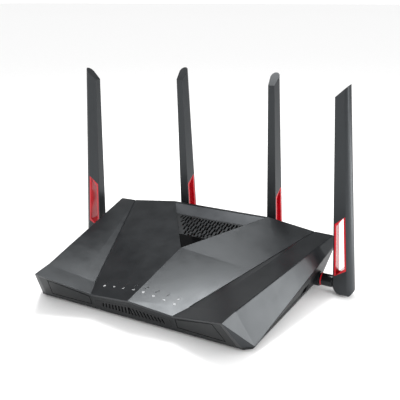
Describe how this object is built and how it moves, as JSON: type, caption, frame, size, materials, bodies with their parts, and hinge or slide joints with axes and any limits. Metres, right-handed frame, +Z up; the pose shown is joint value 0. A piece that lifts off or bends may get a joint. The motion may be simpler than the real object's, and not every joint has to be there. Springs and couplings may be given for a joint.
{
  "type": "wireless router",
  "caption": "Faceted desktop wireless router with upright antennas on swivelling, folding mounts, a recessed vent grille and rear sockets.",
  "frame": {"origin": "on the table, under the centre of the bounding box with the antennas upright", "axes": "+Z up, front face towards -Y, +X to the right seen from the front"},
  "size_m": [0.355, 0.2365, 0.2245],
  "materials": {
    "red_accent": "gloss red",
    "antenna_plastic": "satin charcoal",
    "circuit_board": "solder mask",
    "cable_black": "jacket",
    "gilt_brass": "gold flash",
    "badge_gloss": "piano black",
    "steel": "plated",
    "case_plastic": "matte black",
    "jack_black": "moulded",
    "chip": "matte",
    "fascia_plastic": "matte black",
    "mesh_plastic": "matte black",
    "trim_plastic": "satin charcoal",
    "heatsink_aluminium": "extruded",
    "led": "clear epoxy",
    "label": "blank",
    "jack_yellow": "moulded",
    "light_guide": "clear",
    "button_plastic": "satin",
    "tin_plate": "tin plated",
    "foot_rubber": "soft",
    "usb_black": "moulded",
    "knuckle_plastic": "satin black",
    "pad": "soft",
    "shell_plastic": "satin charcoal",
    "grille_plastic": "matte black",
    "jack_blue": "moulded"
  },
  "bodies": {
    "case": {"antenna_leads": "cable_black", "antenna_nuts": "gilt_brass", "antenna_sockets": "gilt_brass", "badge_plate": "badge_gloss", "board_screws": "steel", "bottom_case": "case_plastic", "button_switches": "jack_black", "case_screws": "steel", "chips": "chip", "front_fascia": "fascia_plastic", "front_mesh": "mesh_plastic", "grille_frame": "trim_plastic", "heatsink": "heatsink_aluminium", "indicator_leds": "led", "label_plate": "label", "lan_jacks": "jack_yellow", "light_guides": "light_guide", "main_board": "circuit_board", "power_jack": "jack_black", "rear_usb_socket": "tin_plate", "rubber_feet": "foot_rubber", "shield_cans": "tin_plate", "side_usb_socket": "usb_black", "thermal_pad": "pad", "top_shell": "shell_plastic", "vent_grille": "grille_plastic", "wan_jack": "jack_blue"},
    "collar_right": {"swivel_collar_right": "knuckle_plastic", "accent_ring_right": "red_accent"},
    "blade_right": {"antenna_blade_right": "antenna_plastic", "window_frame_right": "red_accent", "hinge_pin_right": "steel", "antenna_element_right": "circuit_board"},
    "collar_left": {"swivel_collar_left": "knuckle_plastic", "accent_ring_left": "red_accent"},
    "blade_left": {"antenna_blade_left": "antenna_plastic", "window_frame_left": "red_accent", "hinge_pin_left": "steel", "antenna_element_left": "circuit_board"},
    "collar_rear_right": {"swivel_collar_rear_right": "knuckle_plastic", "accent_ring_rear_right": "red_accent"},
    "blade_rear_right": {"antenna_blade_rear_right": "antenna_plastic", "window_frame_rear_right": "red_accent", "hinge_pin_rear_right": "steel", "antenna_element_rear_right": "circuit_board"},
    "collar_rear_left": {"swivel_collar_rear_left": "knuckle_plastic", "accent_ring_rear_left": "red_accent"},
    "blade_rear_left": {"antenna_blade_rear_left": "antenna_plastic", "window_frame_rear_left": "red_accent", "hinge_pin_rear_left": "steel", "antenna_element_rear_left": "circuit_board"},
    "wps_button": {"wps_button": "button_plastic"},
    "reset_button": {"reset_button": "button_plastic"},
    "wifi_button": {"wifi_button": "button_plastic"},
    "power_button": {"power_button": "button_plastic"}
  },
  "joints": [
    {"name": "swivel_right", "type": "hinge", "parent": "case", "child": "collar_right", "pos_m": [0.139, 0.047, 0.013], "axis": [1, 0, 0], "range_deg": [-90, 90]},
    {"name": "fold_right", "type": "hinge", "parent": "collar_right", "child": "blade_right", "pos_m": [0.1665, 0.047, 0.013], "axis": [0, 1, 0], "range_deg": [0, 90]},
    {"name": "swivel_left", "type": "hinge", "parent": "case", "child": "collar_left", "pos_m": [-0.139, 0.047, 0.013], "axis": [-1, 0, 0], "range_deg": [-90, 90]},
    {"name": "fold_left", "type": "hinge", "parent": "collar_left", "child": "blade_left", "pos_m": [-0.1665, 0.047, 0.013], "axis": [0, -1, 0], "range_deg": [0, 90]},
    {"name": "swivel_rear_right", "type": "hinge", "parent": "case", "child": "collar_rear_right", "pos_m": [0.06, 0.08, 0.013], "axis": [0, 1, 0], "range_deg": [-25, 75]},
    {"name": "fold_rear_right", "type": "hinge", "parent": "collar_rear_right", "child": "blade_rear_right", "pos_m": [0.06, 0.1075, 0.013], "axis": [-1, 0, 0], "range_deg": [0, 90]},
    {"name": "swivel_rear_left", "type": "hinge", "parent": "case", "child": "collar_rear_left", "pos_m": [-0.06, 0.08, 0.013], "axis": [0, 1, 0], "range_deg": [-75, 25]},
    {"name": "fold_rear_left", "type": "hinge", "parent": "collar_rear_left", "child": "blade_rear_left", "pos_m": [-0.06, 0.1075, 0.013], "axis": [-1, 0, 0], "range_deg": [0, 90]},
    {"name": "wps_button_press", "type": "slide", "parent": "case", "child": "wps_button", "axis": [0, -1, 0], "range_m": [0, 0.0012], "stiffness_N_per_m": 900, "springref_m": -0.0006},
    {"name": "reset_button_press", "type": "slide", "parent": "case", "child": "reset_button", "axis": [0, -1, 0], "range_m": [0, 0.0012], "stiffness_N_per_m": 900, "springref_m": -0.0006},
    {"name": "wifi_button_press", "type": "slide", "parent": "case", "child": "wifi_button", "axis": [0, -1, 0], "range_m": [0, 0.0012], "stiffness_N_per_m": 900, "springref_m": -0.0006},
    {"name": "power_button_press", "type": "slide", "parent": "case", "child": "power_button", "axis": [0, -1, 0], "range_m": [0, 0.0012], "stiffness_N_per_m": 900, "springref_m": -0.0006}
  ]
}
